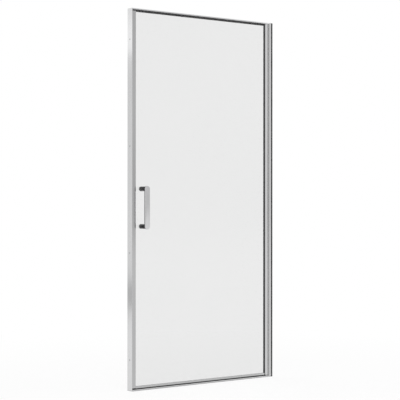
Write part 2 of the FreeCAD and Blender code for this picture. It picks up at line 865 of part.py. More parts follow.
def bottom_rail():
    front, back = rail_sides()
    floor = rail_bottom + bottom_rail_floor
    inner_front = glass_front - bottom_gasket
    inner_back = glass_back + bottom_gasket
    half_bead = drip_bead_width / 2
    groove_top = rail_bottom + drip_bead_height
    corners = [(front, rail_bottom, bottom_rail_edge), (pivot_y - half_bead, rail_bottom, 0)]
    corners += [(pivot_y - half_bead, groove_top, 0), (pivot_y + half_bead, groove_top, 0)]
    corners += [(pivot_y + half_bead, rail_bottom, 0), (back, rail_bottom, bottom_rail_edge)]
    corners += [(back, rail_top, bottom_rail_corner), (inner_back, rail_top, 0), (inner_back, floor, 0)]
    corners += [(inner_front, floor, 0), (inner_front, rail_top, 0), (front, rail_top, bottom_rail_corner)]
    face = rounded_face(corners, flat_yz)
    return lengthwise(face, stile_right + rail_end_gap, carrier_left() - rail_end_gap)


def bottom_rail_gasket():
    floor = rail_bottom + bottom_rail_floor
    inner_front = glass_front - bottom_gasket
    inner_back = glass_back + bottom_gasket
    corners = [(inner_front, floor, 0), (inner_back, floor, 0), (inner_back, rail_top, 0)]
    corners += [(glass_back, rail_top, 0), (glass_back, glass_bottom, 0), (glass_front, glass_bottom, 0)]
    corners += [(glass_front, rail_top, 0), (inner_front, rail_top, 0)]
    face = rounded_face(corners, flat_yz)
    return lengthwise(face, stile_right + rail_end_gap, carrier_left() - rail_end_gap)


def drip_seal():
    front, back = rail_sides()
    pad_bottom = rail_bottom - drip_pad
    half_bead = drip_bead_width / 2
    bead_top = rail_bottom + drip_bead_height
    corners = [(front, leaf_bottom, 0), (front + drip_fin, leaf_bottom, 0)]
    corners += [(front + 2 * drip_fin, pad_bottom, 0), (back - 2 * drip_fin, pad_bottom, 0)]
    corners += [(back - drip_fin, leaf_bottom, 0), (back, leaf_bottom, 0), (back - drip_fin, rail_bottom, 0)]
    corners += [(pivot_y + half_bead, rail_bottom, 0), (pivot_y + half_bead, bead_top, 0)]
    corners += [(pivot_y - half_bead, bead_top, 0), (pivot_y - half_bead, rail_bottom, 0)]
    corners += [(front + drip_fin, rail_bottom, 0)]
    face = rounded_face(corners, flat_yz)
    return lengthwise(face, stile_right + rail_end_gap, carrier_left() - rail_end_gap)


def handle_bar():
    front = handle_back - handle_thickness
    end_radius = handle_width / 2
    straight = handle_length / 2 - end_radius
    low = handle_height - straight
    high = handle_height + straight
    left = handle_x - end_radius
    right = handle_x + end_radius
    low_end = flat_xz(handle_x, low - end_radius)
    high_end = flat_xz(handle_x, high + end_radius)
    edges = [Part.LineSegment(flat_xz(left, high), flat_xz(left, low)).toShape()]
    edges.append(Part.Arc(flat_xz(left, low), low_end, flat_xz(right, low)).toShape())
    edges.append(Part.LineSegment(flat_xz(right, low), flat_xz(right, high)).toShape())
    edges.append(Part.Arc(flat_xz(right, high), high_end, flat_xz(left, high)).toShape())
    face = Part.Face(Part.Wire(edges)).translated(FreeCAD.Vector(0, front, 0))
    bar = face.extrude(FreeCAD.Vector(0, handle_thickness, 0))
    rims = [edge for edge in bar.Edges if edge.BoundBox.YLength < same_place]
    bar = bar.makeChamfer(handle_edge, rims)
    for height in handle_posts_z():
        mortise = handle_back - handle_thickness / 2
        bar = bar.cut(screw_y(handle_x, height, mortise, handle_back + overshoot, handle_screw_radius))
    return bar


def handle_posts():
    posts = []
    end = glass_front - washer_thickness
    for height in handle_posts_z():
        post = turned_y(handle_x, height, handle_back, end, post_radius)
        socket = screw_y(handle_x, height, end - handle_screw_reach, end + overshoot, handle_screw_radius)
        mortise = handle_back - handle_thickness / 2
        tenon = screw_y(handle_x, height, mortise, handle_back, handle_screw_radius)
        posts.append(post.fuse(tenon).cut(socket).removeSplitter())
    return Part.makeCompound(posts)


def washers(front, radius):
    rings = []
    for height in handle_posts_z():
        back = front + washer_thickness
        ring = turned_y(handle_x, height, front, back, radius)
        bore = screw_y(handle_x, height, front - overshoot, back + overshoot, handle_screw_radius)
        rings.append(ring.cut(bore))
    return Part.makeCompound(rings)


def handle_outer_washers():
    return washers(glass_front - washer_thickness, post_radius)


def handle_inner_washers():
    return washers(glass_back, post_radius - cover_cap_wall - screw_hole_clearance)


def handle_screws():
    screws = []
    seat = glass_back + washer_thickness
    reach = glass_front - washer_thickness - handle_screw_reach
    for height in handle_posts_z():
        shank = screw_y(handle_x, height, reach, seat, handle_screw_radius)
        end = seat + handle_head_height
        head = screw_y(handle_x, height, seat, end, handle_head_radius)
        floor = end - handle_socket_depth
        socket = screw_y(handle_x, height, floor, end + overshoot, handle_socket_radius)
        screws.append(shank.fuse(head).cut(socket).removeSplitter())
    return Part.makeCompound(screws)


def handle_cover_caps():
    caps = []
    outward = FreeCAD.Vector(0, 1, 0)
    inner_depth = washer_thickness + handle_head_height + screw_hole_clearance
    end = glass_back + inner_depth + cover_cap_wall
    for height in handle_posts_z():
        shoulder = end - cover_cap_wall
        side = turned_y(handle_x, height, glass_back, shoulder, post_radius)
        crown_start = FreeCAD.Vector(handle_x, shoulder, height)
        pocket_radius = post_radius - cover_cap_wall
        crown = faceted(crown_start, outward, post_radius, pocket_radius, cover_cap_wall, turned_sides)
        cap = side.fuse(crown).removeSplitter()
        pocket = turned_y(handle_x, height, glass_back, glass_back + inner_depth, pocket_radius)
        caps.append(cap.cut(pocket))
    return Part.makeCompound(caps)


pieces = [
    strike_wall_channel, strike_jamb, strike_magnet_strip, pivot_wall_channel, pivot_jamb,
    pivot_jamb_seal, header_rail, threshold_rail, header_screws, threshold_screws,
    jamb_fixing_screws, jamb_screw_caps, top_pivot_block, bottom_pivot_block, pivot_block_screws,
    top_pivot_pin, bottom_pivot_pin, thrust_washer, glass_pane, pivot_stile, glazing_carrier,
    top_pivot_bush, bottom_pivot_bush, strike_stile, strike_glazing_gasket, strike_stile_top_cap,
    strike_stile_bottom_cap, leaf_magnet_strip, top_edge_seal, bottom_rail, bottom_rail_gasket,
    drip_seal, handle_bar, handle_posts, handle_screws, handle_outer_washers,
    handle_inner_washers, handle_cover_caps,
]

os.makedirs("parts", exist_ok=True)
for piece in pieces:
    shape = piece()
    shape.exportStep("parts/" + piece.__name__ + ".step")
    print(piece.__name__, len(shape.Solids), shape.isValid(), round(shape.Volume))
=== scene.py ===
import math

import bmesh
import bpy
from mathutils import Matrix, Vector


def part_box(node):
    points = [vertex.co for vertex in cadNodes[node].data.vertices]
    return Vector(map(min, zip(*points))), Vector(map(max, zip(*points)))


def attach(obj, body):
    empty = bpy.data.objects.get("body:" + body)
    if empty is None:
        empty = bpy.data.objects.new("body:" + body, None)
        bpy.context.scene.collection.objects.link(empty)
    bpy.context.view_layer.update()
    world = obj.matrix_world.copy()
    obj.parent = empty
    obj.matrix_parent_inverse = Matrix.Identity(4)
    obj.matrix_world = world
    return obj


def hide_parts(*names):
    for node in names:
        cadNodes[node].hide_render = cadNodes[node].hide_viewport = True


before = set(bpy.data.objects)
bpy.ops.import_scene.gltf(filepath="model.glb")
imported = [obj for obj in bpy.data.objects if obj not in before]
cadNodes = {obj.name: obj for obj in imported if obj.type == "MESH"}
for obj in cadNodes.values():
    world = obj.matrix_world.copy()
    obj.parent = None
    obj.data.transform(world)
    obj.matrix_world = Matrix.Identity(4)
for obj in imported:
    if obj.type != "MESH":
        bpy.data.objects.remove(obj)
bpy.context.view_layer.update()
scene = bpy.context.scene
mm = 0.001
print("frame loaded, CAD nodes:", len(cadNodes))

# The view of the photograph.
view = {
    "place": (-4.0674, -5.1890, 0.9137),
    "turnDegrees": (90.0855, -0.03, -37.957),
    "lens": 117.67,
    "sensor": 36.0,
}

camera = bpy.data.cameras.new("photo_view")
camera.lens = view["lens"]
camera.sensor_width = view["sensor"]
cameraObject = bpy.data.objects.new("photo_view", camera)
cameraObject.location = view["place"]
cameraObject.rotation_euler = [math.radians(turn) for turn in view["turnDegrees"]]
scene.collection.objects.link(cameraObject)
scene.camera = cameraObject
scene.view_settings.view_transform = "Standard"


def addNode(tree, kind, values=None, **settings):
    node = tree.nodes.new(kind)
    for name, value in settings.items():
        setattr(node, name, value)
    for name, value in (values or {}).items():
        node.inputs[name].default_value = value
    return node


def addGroup(tree, group, values=None):
    return addNode(tree, "ShaderNodeGroup", values, node_tree=group)


def newGroup(name, inputs, outputs):
    # Sockets are given as name: (kind, starting value).
    tree = bpy.data.node_groups.new(name, "ShaderNodeTree")
    for socketName, (kind, start) in inputs.items():
        socket = tree.interface.new_socket(socketName, in_out="INPUT", socket_type=kind)
        socket.default_value = start
    for socketName, kind in outputs.items():
        tree.interface.new_socket(socketName, in_out="OUTPUT", socket_type=kind)
    entry = tree.nodes.new("NodeGroupInput")
    leave = tree.nodes.new("NodeGroupOutput")
    return tree, entry, leave


def feed(tree, value, socket):
    # The value is another node's output, a colour of three numbers, or a plain number.
    if isinstance(value, bpy.types.NodeSocket):
        tree.links.new(value, socket)
    elif isinstance(value, tuple):
        socket.default_value = value + (1.0,)
    else:
        socket.default_value = value


def joinMath(tree, operation, first, second):
    node = addNode(tree, "ShaderNodeMath", operation=operation)
    feed(tree, first, node.inputs[0])
    feed(tree, second, node.inputs[1])
    return node.outputs["Value"]


def addShare(tree, base, mask, share):
    return joinMath(tree, "ADD", base, joinMath(tree, "MULTIPLY", mask, share))


def stretchRange(tree, value, fromLow, fromHigh, toLow=0.0, toHigh=1.0):
    node = addNode(tree, "ShaderNodeMapRange", {
        "From Min": fromLow, "From Max": fromHigh, "To Min": toLow, "To Max": toHigh,
    })
    tree.links.new(value, node.inputs["Value"])
    return node.outputs["Result"]


def mixColours(tree, mask, first, second):
    # This node has its two colours at inputs 6 and 7 and the mixed one at output 2.
    node = addNode(tree, "ShaderNodeMix", data_type="RGBA")
    tree.links.new(mask, node.inputs[0])
    feed(tree, first, node.inputs[6])
    feed(tree, second, node.inputs[7])
    return node.outputs[2]


def mixShare(tree, mask, share, first, second):
    return mixColours(tree, joinMath(tree, "MULTIPLY", mask, share), first, second)


def noiseAt(tree, vector, scale, detail=2.0, roughness=0.5, distortion=0.0):
    node = addNode(tree, "ShaderNodeTexNoise", {
        "Detail": detail, "Roughness": roughness, "Distortion": distortion,
    })
    tree.links.new(vector, node.inputs["Vector"])
    feed(tree, scale, node.inputs["Scale"])
    return node.outputs["Fac"]


dieLineLook = {
    "lineScale": 1800.0,
    "lineDetail": 3.0,
    "lineRoughness": 0.65,
    "bandDetail": 1.0,
}


def buildDieLines():
    # Fine lines that an extrusion die leaves along a profile, and slow bands between them.
    look = dieLineLook
    tree, entry, leave = newGroup("dieLines", {
        "Stretch": ("NodeSocketVector", (1.0, 1.0, 1.0)),
        "Band Scale": ("NodeSocketFloat", 60.0),
    }, {"Lines": "NodeSocketFloat", "Bands": "NodeSocketFloat"})
    place = addNode(tree, "ShaderNodeTexCoord")
    stretch = addNode(tree, "ShaderNodeVectorMath", operation="MULTIPLY")
    tree.links.new(place.outputs["Object"], stretch.inputs[0])
    tree.links.new(entry.outputs["Stretch"], stretch.inputs[1])
    stretched = stretch.outputs["Vector"]
    lines = noiseAt(tree, stretched, look["lineScale"], look["lineDetail"], look["lineRoughness"])
    bands = noiseAt(tree, stretched, entry.outputs["Band Scale"], look["bandDetail"])
    tree.links.new(lines, leave.inputs["Lines"])
    tree.links.new(bands, leave.inputs["Bands"])
    return tree


handMarkLook = {
    "cloudDetail": 4.0,
    "cloudDistortion": 0.6,
    "cloudSpan": (0.35, 0.75),
    "dropRim": (0.22, 0.30),
    "patchScale": 45.0,
    "patchLimit": 0.62,
}


def buildHandMarks():
    # Cloudy wiping marks and, in some patches, small dried drops.
    look = handMarkLook
    tree, entry, leave = newGroup("handMarks", {
        "Cloud Scale": ("NodeSocketFloat", 9.0),
        "Drop Scale": ("NodeSocketFloat", 160.0),
    }, {"Clouds": "NodeSocketFloat", "Drops": "NodeSocketFloat"})
    place = addNode(tree, "ShaderNodeTexCoord").outputs["Object"]
    clouds = noiseAt(tree, place, entry.outputs["Cloud Scale"], look["cloudDetail"],
                     distortion=look["cloudDistortion"])
    drops = addNode(tree, "ShaderNodeTexVoronoi", feature="F1")
    tree.links.new(place, drops.inputs["Vector"])
    tree.links.new(entry.outputs["Drop Scale"], drops.inputs["Scale"])
    rims = stretchRange(tree, drops.outputs["Distance"], *look["dropRim"], 1.0, 0.0)
    patches = noiseAt(tree, place, look["patchScale"])
    chosen = joinMath(tree, "GREATER_THAN", patches, look["patchLimit"])
    tree.links.new(stretchRange(tree, clouds, *look["cloudSpan"]), leave.inputs["Clouds"])
    tree.links.new(joinMath(tree, "MULTIPLY", rims, chosen), leave.inputs["Drops"])
    return tree


softEdgeLook = {
    "samples": 6,
    "cornerSpan": (0.99, 0.80),
    "wearScale": 220.0,
    "wearDetail": 3.0,
    "wearSpan": (0.38, 0.62),
    "leastWear": 0.3,
}


def buildSoftEdges():
    # A rounded normal over the corners, and a mask of where they are rubbed.
    look = softEdgeLook
    tree, entry, leave = newGroup("softEdges", {
        "Radius": ("NodeSocketFloat", 0.0004),
    }, {"Wear": "NodeSocketFloat", "Normal": "NodeSocketVector"})
    rounding = addNode(tree, "ShaderNodeBevel", samples=look["samples"])
    tree.links.new(entry.outputs["Radius"], rounding.inputs["Radius"])
    plain = addNode(tree, "ShaderNodeNewGeometry")
    place = addNode(tree, "ShaderNodeTexCoord")
    match = addNode(tree, "ShaderNodeVectorMath", operation="DOT_PRODUCT")
    tree.links.new(rounding.outputs["Normal"], match.inputs[0])
    tree.links.new(plain.outputs["Normal"], match.inputs[1])
    corner = stretchRange(tree, match.outputs["Value"], *look["cornerSpan"])
    patches = noiseAt(tree, place.outputs["Object"], look["wearScale"], look["wearDetail"])
    broken = stretchRange(tree, patches, *look["wearSpan"], look["leastWear"], 1.0)
    tree.links.new(joinMath(tree, "MULTIPLY", corner, broken), leave.inputs["Wear"])
    tree.links.new(rounding.outputs["Normal"], leave.inputs["Normal"])
    return tree


dustLook = {
    "detail": 6.0,
    "roughness": 0.7,
    "span": (0.48, 0.78),
}


def buildFineGrain():
    # The even grain of moulded plastic and rubber, with a few lighter specks of dust.
    tree, entry, leave = newGroup("fineGrain", {
        "Grain Scale": ("NodeSocketFloat", 2400.0),
        "Dust Scale": ("NodeSocketFloat", 35.0),
    }, {"Grain": "NodeSocketFloat", "Dust": "NodeSocketFloat"})
    place = addNode(tree, "ShaderNodeTexCoord").outputs["Object"]
    grain = noiseAt(tree, place, entry.outputs["Grain Scale"])
    dust = noiseAt(tree, place, entry.outputs["Dust Scale"], dustLook["detail"],
                   dustLook["roughness"])
    tree.links.new(grain, leave.inputs["Grain"])
    tree.links.new(stretchRange(tree, dust, *dustLook["span"]), leave.inputs["Dust"])
    return tree


recessShadeLook = {
    "samples": 8,
    "openSpan": (0.30, 0.72),
}


def buildRecessPaintedShade():
    # How far a place is tucked behind its neighbours, a mask for painted shade that darkens
    # recesses.
    tree, entry, leave = newGroup("recessPaintedShade", {
        "Reach": ("NodeSocketFloat", 0.02),
    }, {"Tucked": "NodeSocketFloat"})
    openness = addNode(tree, "ShaderNodeAmbientOcclusion", samples=recessShadeLook["samples"])
    tree.links.new(entry.outputs["Reach"], openness.inputs["Distance"])
    tucked = stretchRange(tree, openness.outputs["AO"], *recessShadeLook["openSpan"], 1.0, 0.0)
    tree.links.new(tucked, leave.inputs["Tucked"])
    return tree


sideShadeLook = {
    "frontSpan": (0.6, 1.0),
}


def buildPaintedSideShade():
    # Painted shade on the narrow sides of a flat piece that faces along Y, whose colour is darker
    # than its front.
    # A face whose normal has this reach along Y counts as its front.
    tree, entry, leave = newGroup("rimSides", {
        "Reach": ("NodeSocketFloat", 0.75),
    }, {"Rim": "NodeSocketFloat"})
    place = addNode(tree, "ShaderNodeTexCoord")
    apart = addNode(tree, "ShaderNodeSeparateXYZ")
    tree.links.new(place.outputs["Normal"], apart.inputs[0])
    alongFront = joinMath(tree, "ABSOLUTE", apart.outputs["Y"], 0.0)
    front = joinMath(tree, "DIVIDE", alongFront, entry.outputs["Reach"])
    rim = stretchRange(tree, front, *sideShadeLook["frontSpan"], 1.0, 0.0)
    tree.links.new(rim, leave.inputs["Rim"])
    return tree


dieLines = buildDieLines()
handMarks = buildHandMarks()
softEdges = buildSoftEdges()
fineGrain = buildFineGrain()
recessPaintedShade = buildRecessPaintedShade()
rimSides = buildPaintedSideShade()
print("shader groups built")

# Most of a noise's values lie between these two.
noiseSpan = (0.3, 0.7)


def startMaterial(name, plain):
    material = bpy.data.materials.new(name)
    material.use_nodes = True
    tree = material.node_tree
    shader = tree.nodes["Principled BSDF"]
    for socket, value in plain.items():
        shader.inputs[socket].default_value = value
    return material, tree, shader


def roundedBump(tree, height, strength, distance, edges):
    bump = addNode(tree, "ShaderNodeBump", {"Strength": strength, "Distance": distance})
    tree.links.new(height, bump.inputs["Height"])
    tree.links.new(edges.outputs["Normal"], bump.inputs["Normal"])
    return bump.outputs["Normal"]


def metalMaterial(name, look):
    material, tree, shader = startMaterial(name, {"Metallic": 1.0})
    lines = addGroup(tree, dieLines, {
        "Stretch": look["stretch"], "Band Scale": look["bandScale"],
    })
    marks = addGroup(tree, handMarks, {"Cloud Scale": look["cloudScale"]})
    edges = addGroup(tree, softEdges, {"Radius": look["edgeRadius"]})
    streaks = stretchRange(tree, lines.outputs["Lines"], *noiseSpan)
    colour = mixColours(tree, streaks, look["dark"], look["light"])
    colour = mixShare(tree, edges.outputs["Wear"], look["wear"], colour, look["rubbed"])
    # Painted shade: the sides of the piece get a darker colour.
    if "rim" in look:
        sideShadeMask = addGroup(tree, rimSides)
        colour = mixColours(tree, sideShadeMask.outputs["Rim"], colour, look["rim"])
    # Painted shade: in recesses the colour darkens towards a dark grey.
    tucked = addGroup(tree, recessPaintedShade, {"Reach": look["paintedShadeReach"]})
    colour = mixShare(tree, tucked.outputs["Tucked"], look["paintedShade"], colour, look["paintedShadeColour"])
    tree.links.new(colour, shader.inputs["Base Color"])
    rough = stretchRange(tree, lines.outputs["Bands"], *noiseSpan, look["smooth"], look["rough"])
    rough = addShare(tree, rough, marks.outputs["Clouds"], look["cloudRough"])
    rough = addShare(tree, rough, marks.outputs["Drops"], look["dropRough"])
    tree.links.new(rough, shader.inputs["Roughness"])
    bump = roundedBump(tree, lines.outputs["Lines"], look["lineDepth"], look["lineReach"], edges)
    tree.links.new(bump, shader.inputs["Normal"])
    return material


def mouldedMaterial(name, look):
    material, tree, shader = startMaterial(name, {
        "IOR": look["ior"], "Specular IOR Level": look["specular"],
    })
    grain = addGroup(tree, fineGrain, {"Grain Scale": look["grainScale"]})
    edges = addGroup(tree, softEdges, {"Radius": look["edgeRadius"]})
    mask = stretchRange(tree, grain.outputs["Grain"], *noiseSpan)
    colour = mixColours(tree, mask, look["dark"], look["light"])
    colour = mixShare(tree, grain.outputs["Dust"], look["dust"], colour, look["dustColour"])
    colour = mixShare(tree, edges.outputs["Wear"], look["wear"], colour, look["rubbed"])
    tree.links.new(colour, shader.inputs["Base Color"])
    rough = stretchRange(tree, grain.outputs["Grain"], *noiseSpan, look["smooth"], look["rough"])
    rough = addShare(tree, rough, grain.outputs["Dust"], look["dustRough"])
    tree.links.new(rough, shader.inputs["Roughness"])
    bump = roundedBump(tree, grain.outputs["Grain"], look["grainDepth"], look["grainReach"], edges)
    tree.links.new(bump, shader.inputs["Normal"])
    return material


aluminium = {
    "dark": (0.590, 0.591, 0.595),
    "light": (0.650, 0.651, 0.655),
    "rubbed": (0.74, 0.74, 0.74),
    "wear": 0.5,
    "smooth": 0.09,
    "rough": 0.16,
    "cloudScale": 7.0,
    "cloudRough": 0.04,
    "dropRough": 0.08,
    "edgeRadius": 0.5 * mm,
    "lineDepth": 0.25,
    "lineReach": 0.05 * mm,
    "bandScale": 60.0,
    # Painted shade in recesses: how far it reaches, its share and its dark colour.
    "paintedShadeReach": 0.012,
    "paintedShade": 0.7,
    "paintedShadeColour": (0.16, 0.16, 0.155),
}
uprightAluminium = metalMaterial("upright_aluminium", {
    **aluminium,
    "stretch": (1.0, 1.0, 0.004),
})
leafRailAluminium = metalMaterial("leaf_rail_aluminium", {
    **aluminium,
    "stretch": (0.004, 1.0, 1.0),
})
# Painted light: the header and threshold get a lighter copy of the aluminium, and darker painted
# shade in their recesses.
railAluminiumPaintedLight = metalMaterial("rail_aluminium", {
    **aluminium,
    "dark": (0.80, 0.80, 0.81),
    "light": (0.86, 0.86, 0.87),
    "rubbed": (0.88, 0.88, 0.88),
    "paintedShadeReach": 0.03,
    "paintedShade": 0.92,
    "paintedShadeColour": (0.05, 0.05, 0.05),
    "stretch": (0.004, 1.0, 1.0),
})
handleChrome = metalMaterial("handle_chrome_plate", {
    **aluminium,
    "dark": (0.79, 0.79, 0.80),
    "light": (0.84, 0.84, 0.85),
    "rubbed": (0.80, 0.80, 0.80),
    # The colour of the painted shade on the bar's sides.
    "rim": (0.28, 0.28, 0.285),
    "smooth": 0.07,
    "rough": 0.12,
    "lineDepth": 0.08,
    "stretch": (1.0, 1.0, 0.02),
})
capChrome = metalMaterial("cap_chrome_plate", {
    **aluminium,
    "dark": (0.66, 0.67, 0.68),
    "light": (0.72, 0.73, 0.74),
    "smooth": 0.10,
    "rough": 0.16,
    "lineDepth": 0.05,
    "stretch": (1.0, 1.0, 1.0),
})
pivotSteel = metalMaterial("turned_pivot_steel", {
    **aluminium,
    "dark": (0.42, 0.42, 0.43),
    "light": (0.50, 0.50, 0.51),
    "rubbed": (0.62, 0.62, 0.62),
    "smooth": 0.24,
    "rough": 0.36,
    "stretch": (0.05, 0.05, 1.0),
})
screwSteel = metalMaterial("screw_steel_bright", {
    **aluminium,
    "dark": (0.50, 0.50, 0.51),
    "light": (0.58, 0.58, 0.59),
    "smooth": 0.18,
    "rough": 0.30,
    "stretch": (1.0, 1.0, 1.0),
})

rubber = {
    "dark": (0.020, 0.020, 0.021),
    "light": (0.034, 0.034, 0.035),
    "rubbed": (0.060, 0.060, 0.060),
    "wear": 0.4,
    "dustColour": (0.20, 0.20, 0.19),
    "dust": 0.10,
    "dustRough": 0.15,
    "smooth": 0.42,
    "rough": 0.60,
    "ior": 1.48,
    "specular": 0.5,
    "edgeRadius": 0.3 * mm,
    "grainScale": 2600.0,
    "grainDepth": 0.35,
    "grainReach": 0.1 * mm,
}
sealRubber = mouldedMaterial("seal_rubber", rubber)
carrierPlastic = mouldedMaterial("carrier_plastic", {
    **rubber,
    "dark": (0.034, 0.034, 0.036),
    "light": (0.050, 0.050, 0.052),
    "rubbed": (0.09, 0.09, 0.09),
    "smooth": 0.28,
    "rough": 0.40,
    "grainScale": 1800.0,
    "grainDepth": 0.2,
})
postPlastic = mouldedMaterial("post_dark_finish", {
    **rubber,
    "dark": (0.022, 0.022, 0.024),
    "light": (0.034, 0.034, 0.036),
    "smooth": 0.16,
    "rough": 0.26,
    "grainScale": 1500.0,
    "grainDepth": 0.1,
    "edgeRadius": 0.4 * mm,
})
bearingPlastic = mouldedMaterial("bearing_plastic_white", {
    **rubber,
    "dark": (0.66, 0.66, 0.63),
    "light": (0.73, 0.73, 0.70),
    "rubbed": (0.78, 0.78, 0.76),
    "dustColour": (0.45, 0.44, 0.42),
    "smooth": 0.35,
    "rough": 0.48,
})
magnetPlastic = mouldedMaterial("magnet_strip_grey", {
    **rubber,
    "dark": (0.20, 0.20, 0.205),
    "light": (0.26, 0.26, 0.265),
    "rubbed": (0.34, 0.34, 0.34),
    "smooth": 0.38,
    "rough": 0.5,
})


def letLampsThrough(tree, shader):
    # Lamps light what stands behind a clear piece.
    clear = addNode(tree, "ShaderNodeBsdfTransparent")
    path = addNode(tree, "ShaderNodeLightPath")
    choice = addNode(tree, "ShaderNodeMixShader")
    tree.links.new(path.outputs["Is Shadow Ray"], choice.inputs[0])
    tree.links.new(shader.outputs[0], choice.inputs[1])
    tree.links.new(clear.outputs[0], choice.inputs[2])
    tree.links.new(choice.outputs[0], tree.nodes["Material Output"].inputs["Surface"])


def clearMaterial(name, look):
    material, tree, shader = startMaterial(name, {
        "Metallic": 0.0, "Transmission Weight": 1.0, "IOR": look["ior"],
    })
    marks = addGroup(tree, handMarks, {
        "Cloud Scale": look["cloudScale"], "Drop Scale": look["dropScale"],
    })
    colour = mixColours(tree, marks.outputs["Clouds"], look["clean"], look["wiped"])
    tree.links.new(colour, shader.inputs["Base Color"])
    rough = joinMath(tree, "MULTIPLY", marks.outputs["Clouds"], look["cloudRough"])
    rough = addShare(tree, rough, marks.outputs["Drops"], look["dropRough"])
    tree.links.new(joinMath(tree, "ADD", rough, look["base"]), shader.inputs["Roughness"])
    letLampsThrough(tree, shader)
    return material


clearGlass = clearMaterial("clear_safety_glass", {
    "ior": 1.51,
    "clean": (0.836, 0.837, 0.836),
    "wiped": (0.830, 0.832, 0.831),
    "base": 0.0,
    "cloudScale": 3.0,
    "dropScale": 130.0,
    "cloudRough": 0.012,
    "dropRough": 0.05,
})
clearWasher = clearMaterial("clear_washer_plastic", {
    "ior": 1.46,
    "clean": (0.78, 0.80, 0.81),
    "wiped": (0.74, 0.76, 0.77),
    "base": 0.12,
    "cloudScale": 60.0,
    "dropScale": 900.0,
    "cloudRough": 0.12,
    "dropRough": 0.1,
})
print("materials built:", len(bpy.data.materials))

# Finish of each CAD node that keeps its own shape.
nodeFinish = {
    "strike_wall_channel": uprightAluminium,
    "strike_jamb": uprightAluminium,
    "pivot_wall_channel": uprightAluminium,
    "pivot_jamb": uprightAluminium,
    "pivot_stile": uprightAluminium,
    "strike_stile": uprightAluminium,
    "header_rail": railAluminiumPaintedLight,
    "threshold_rail": railAluminiumPaintedLight,
    "bottom_rail": leafRailAluminium,
    "top_pivot_block": pivotSteel,
    "bottom_pivot_block": pivotSteel,
    "top_pivot_pin": pivotSteel,
    "bottom_pivot_pin": pivotSteel,
    "pivot_block_screws": screwSteel,
    "jamb_fixing_screws": screwSteel,
    "handle_screws": screwSteel,
    "thrust_washer": bearingPlastic,
    "top_pivot_bush": bearingPlastic,
    "bottom_pivot_bush": bearingPlastic,
    "glazing_carrier": carrierPlastic,
    "strike_stile_top_cap": carrierPlastic,
    "strike_stile_bottom_cap": carrierPlastic,
    "pivot_jamb_seal": sealRubber,
    "strike_glazing_gasket": sealRubber,
    "bottom_rail_gasket": sealRubber,
    "top_edge_seal": sealRubber,
    "drip_seal": sealRubber,
    "glass_pane": clearGlass,
}
for nodeName, finish in nodeFinish.items():
    for slot in cadNodes[nodeName].material_slots:
        slot.material = finish
print("CAD nodes finished:", len(nodeFinish))

# Points closer than this are one point, and a crease sharper than this stays a crease.
meshing = {
    "samePoint": 1e-7,
    "sharpDegrees": 32,
}


def finishMesh(name, builder):
    bmesh.ops.remove_doubles(builder, verts=builder.verts, dist=meshing["samePoint"])
    bmesh.ops.recalc_face_normals(builder, faces=builder.faces)
    mesh = bpy.data.meshes.new(name)
    builder.to_mesh(mesh)
    builder.free()
    return mesh


def placeMesh(name, mesh, material):
    mesh.materials.append(material)
    placed = bpy.data.objects.new(name, mesh)
    scene.collection.objects.link(placed)
    return placed


def newPiece(name, builder, material, body, slot, *replaced):
    # It rides on a body, takes the given material, and stands for the replaced CAD nodes.
    mesh = finishMesh(name, builder)
    for face in mesh.polygons:
        face.use_smooth = True
    mesh.set_sharp_from_angle(angle=math.radians(meshing["sharpDegrees"]))
    piece = placeMesh(name, mesh, material)
    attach(piece, body)
    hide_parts(*replaced)


def alongY(x, y, z):
    # Local Z turns to look along +Y, from outside the door into the shower.
    return Matrix.Translation((x, y, z)) @ Matrix.Rotation(math.radians(-90), 4, "X")


def arcPoints(centre, radius, fromDegrees, toDegrees, steps):
    points = []
    for step in range(steps + 1):
        angle = math.radians(fromDegrees + (toDegrees - fromDegrees) * step / steps)
        x = centre[0] + radius * math.cos(angle)
        y = centre[1] + radius * math.sin(angle)
        points.append((x, y))
    return points


def circleRing(builder, place, radius, height, sides):
    ring = []
    for side in range(sides):
        angle = 2 * math.pi * side / sides
        point = Vector((radius * math.cos(angle), radius * math.sin(angle), height))
        ring.append(builder.verts.new(place @ point))
    return ring


def turnProfile(builder, profile, place, sides):
    # Turns (radius, height) points about the local Z of place. One on the axis stays one point.
    rings = []
    for radius, height in profile:
        if radius < meshing["samePoint"]:
            rings.append([builder.verts.new(place @ Vector((0.0, 0.0, height)))])
        else:
            rings.append(circleRing(builder, place, radius, height, sides))
    for low, high in zip(rings, rings[1:]):
        for side in range(sides):
            after = (side + 1) % sides
            corners = [low[side % len(low)], low[after % len(low)]]
            corners += [high[after % len(high)], high[side % len(high)]]
            corners = list(dict.fromkeys(corners))
            if len(corners) > 2:
                builder.faces.new(corners)


def joinLayers(builder, layers):
    # Layers of equally many points, joined one to the next and closed at both ends.
    for low, high in zip(layers, layers[1:]):
        for point in range(len(low)):
            after = (point + 1) % len(low)
            builder.faces.new([low[point], low[after], high[after], high[point]])
    builder.faces.new(layers[0][::-1])
    builder.faces.new(layers[-1])


def extrudeOutline(builder, outline, start, end):
    # A closed outline of (x, y) points, drawn up from one height to another.
    joinLayers(builder, [
        [builder.verts.new((x, y, height)) for x, y in outline] for height in (start, end)
    ])


# The handle: a flat bar with round ends on two posts.
handle = {
    "edge": 0.6 * mm,
    "edgeSteps": 4,
    "endSteps": 24,
    "leastCorner": 0.01 * mm,
}
barLow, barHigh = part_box("handle_bar")
handleX = (barLow.x + barHigh.x) / 2


